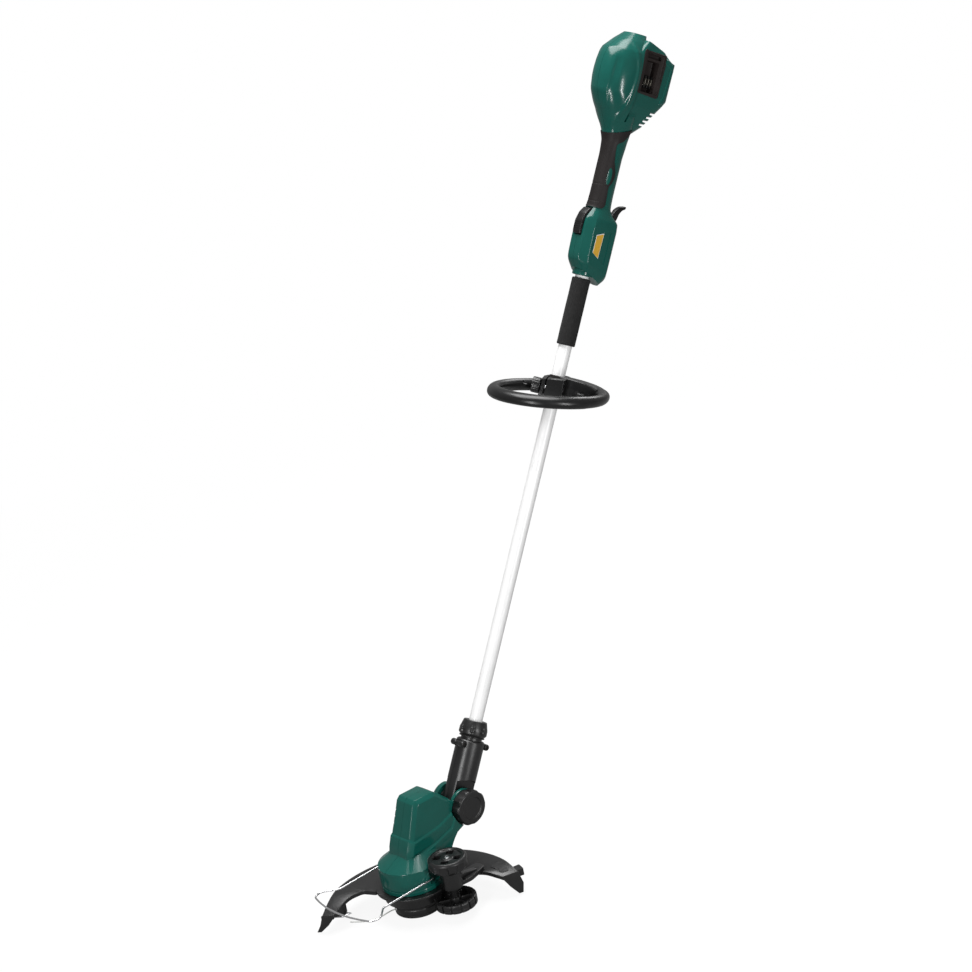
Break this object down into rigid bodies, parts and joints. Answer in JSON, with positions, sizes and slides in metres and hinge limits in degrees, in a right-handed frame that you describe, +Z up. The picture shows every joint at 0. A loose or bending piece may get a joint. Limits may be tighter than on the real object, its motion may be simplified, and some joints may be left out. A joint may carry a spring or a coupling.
{
  "type": "string trimmer",
  "caption": "Battery string trimmer: tilting motor head with guard, edge wheel and wire plant guard, long tube, swivelling loop handle, rear grip with trigger and side battery bays.",
  "frame": {"origin": "middle of the bump knob's underside, on the spool's axis, at ground level", "axes": "+Z up along the spool's axis, -Y to the front where the wire plant guard reaches, +X to the user's left, where the edge wheel is"},
  "size_m": [0.2596, 0.9652, 1.2273],
  "materials": {
    "green_plastic": "gloss",
    "black_plastic": "satin",
    "black_rubber": "matte",
    "black_foam": "matte",
    "white_tube": "satin",
    "steel": "satin",
    "wire_steel": "bright",
    "contact_metal": "bright",
    "bay_plastic": "matte",
    "circuit_board": "matte",
    "lead_covering": "matte",
    "nylon_line": "satin"
  },
  "bodies": {
    "shaft": {"shaft_tube": "white_tube", "foam_grip": "black_foam", "motor_leads": "lead_covering", "battery_leads": "lead_covering", "handle_shell_left": "green_plastic", "handle_shell_right": "green_plastic", "grip_overmould": "black_rubber", "bay_liner_left": "bay_plastic", "bay_liner_right": "bay_plastic", "terminal_block_left": "black_plastic", "terminal_block_right": "black_plastic", "contact_blades_left": "contact_metal", "contact_blades_right": "contact_metal", "control_module": "circuit_board", "trigger_switch": "black_plastic", "trigger_pin": "steel", "lock_off_spring": "steel"},
    "trigger": {"trigger": "black_plastic"},
    "lock_off": {"lock_off_button": "black_plastic"},
    "loop_bush": {"loop_bush": "black_rubber"},
    "loop_handle": {"loop_handle": "black_plastic", "loop_bolt": "steel"},
    "loop_knob": {"loop_clamp_knob": "black_plastic"},
    "pivot_sleeve": {"pivot_sleeve_left": "black_plastic", "pivot_sleeve_right": "black_plastic", "sleeve_screw_front": "steel", "sleeve_screw_rear": "steel", "clamp_collet": "black_plastic"},
    "clamp_nut": {"clamp_nut": "black_plastic"},
    "motor_head": {"motor_housing_left": "green_plastic", "motor_housing_right": "green_plastic", "pivot_bolt": "steel", "motor_can": "steel", "bearing_lower": "steel", "bearing_upper": "steel", "guard": "black_plastic", "line_cutter": "steel", "wheel_bracket": "black_plastic", "wheel_axle": "steel"},
    "pivot_knob": {"pivot_knob": "black_plastic"},
    "wheel_knob": {"wheel_knob": "black_plastic", "knob_screw": "steel"},
    "edge_wheel": {"edge_wheel": "black_plastic"},
    "wire_guard": {"wire_guard": "wire_steel"},
    "spool": {"spool_housing": "black_plastic", "spool_cap": "black_plastic", "drive_gear": "steel", "drive_spindle": "steel", "line_eyelet": "steel", "line_reel": "bay_plastic", "line_winding": "nylon_line", "cutting_line": "nylon_line", "bump_spring": "steel"},
    "pinion": {"motor_pinion": "steel"},
    "bump_knob": {"bump_knob": "black_plastic"}
  },
  "joints": [
    {"name": "trigger_hinge", "type": "hinge", "parent": "shaft", "child": "trigger", "pos_m": [0, 0.63556, 0.94349], "axis": [1, 0, 0], "range_deg": [0, 13], "stiffness_Nm_per_rad": 0.06, "springref_deg": -22.92},
    {"name": "lock_off_slide", "type": "slide", "parent": "shaft", "child": "lock_off", "axis": [0, 0.8526, -0.5225], "range_m": [0, 0.003], "stiffness_N_per_m": 300, "springref_m": -0.003},
    {"name": "loop_slide", "type": "slide", "parent": "shaft", "child": "loop_bush", "axis": [0, 0.5225, 0.8526], "range_m": [-0.15, 0.03]},
    {"name": "loop_swivel", "type": "hinge", "parent": "loop_bush", "child": "loop_handle", "pos_m": [0, 0.47298, 0.72412], "axis": [0, 0.5225, 0.8526], "range_deg": [-60, 60]},
    {"name": "loop_knob_turn", "type": "hinge", "parent": "loop_handle", "child": "loop_knob", "pos_m": [0.00335, 0.4387, 0.73809], "axis": [0.7466, 0.5672, -0.3476], "range_deg": [-180, 180]},
    {"name": "head_swivel", "type": "hinge", "parent": "shaft", "child": "pivot_sleeve", "pos_m": [0, 0.1135, 0.1375], "axis": [0, 0.5225, 0.8526], "range_deg": [0, 180]},
    {"name": "clamp_nut_turn", "type": "hinge", "parent": "pivot_sleeve", "child": "clamp_nut", "pos_m": [0, 0.1762, 0.23982], "axis": [0, 0.5225, 0.8526], "range_deg": [-180, 0]},
    {"name": "head_tilt", "type": "hinge", "parent": "pivot_sleeve", "child": "motor_head", "pos_m": [0, 0.1135, 0.1375], "axis": [1, 0, 0], "range_deg": [-20, 45]},
    {"name": "pivot_knob_turn", "type": "hinge", "parent": "motor_head", "child": "pivot_knob", "pos_m": [0.034, 0.1135, 0.1375], "axis": [1, 0, 0], "range_deg": [-180, 180]},
    {"name": "wheel_knob_turn", "type": "hinge", "parent": "motor_head", "child": "wheel_knob", "pos_m": [0.072, 0.023, 0.09], "axis": [0, 0, 1], "range_deg": [-90, 90]},
    {"name": "edge_wheel_spin", "type": "hinge", "parent": "motor_head", "child": "edge_wheel", "pos_m": [0.072, 0.023, 0.023], "axis": [0, 0, 1], "continuous": true},
    {"name": "wire_guard_swing", "type": "hinge", "parent": "motor_head", "child": "wire_guard", "pos_m": [0, 0, 0.07], "axis": [-1, 0, 0], "range_deg": [0, 70]},
    {"name": "spool_spin", "type": "hinge", "parent": "motor_head", "child": "spool", "pos_m": [0, 0, 0.012], "axis": [0, 0, 1], "continuous": true},
    {"name": "pinion_spin", "type": "hinge", "parent": "motor_head", "child": "pinion", "pos_m": [0, 0.036, 0.06], "axis": [0, 0, 1], "continuous": true},
    {"name": "bump_press", "type": "slide", "parent": "spool", "child": "bump_knob", "axis": [0, 0, 1], "range_m": [0, 0.0025], "stiffness_N_per_m": 500, "springref_m": -0.003, "deforming": ["bump_spring"]}
  ],
  "couplings": [
    {"joint": "pinion_spin", "follows": "spool_spin", "ratio": -3}
  ]
}
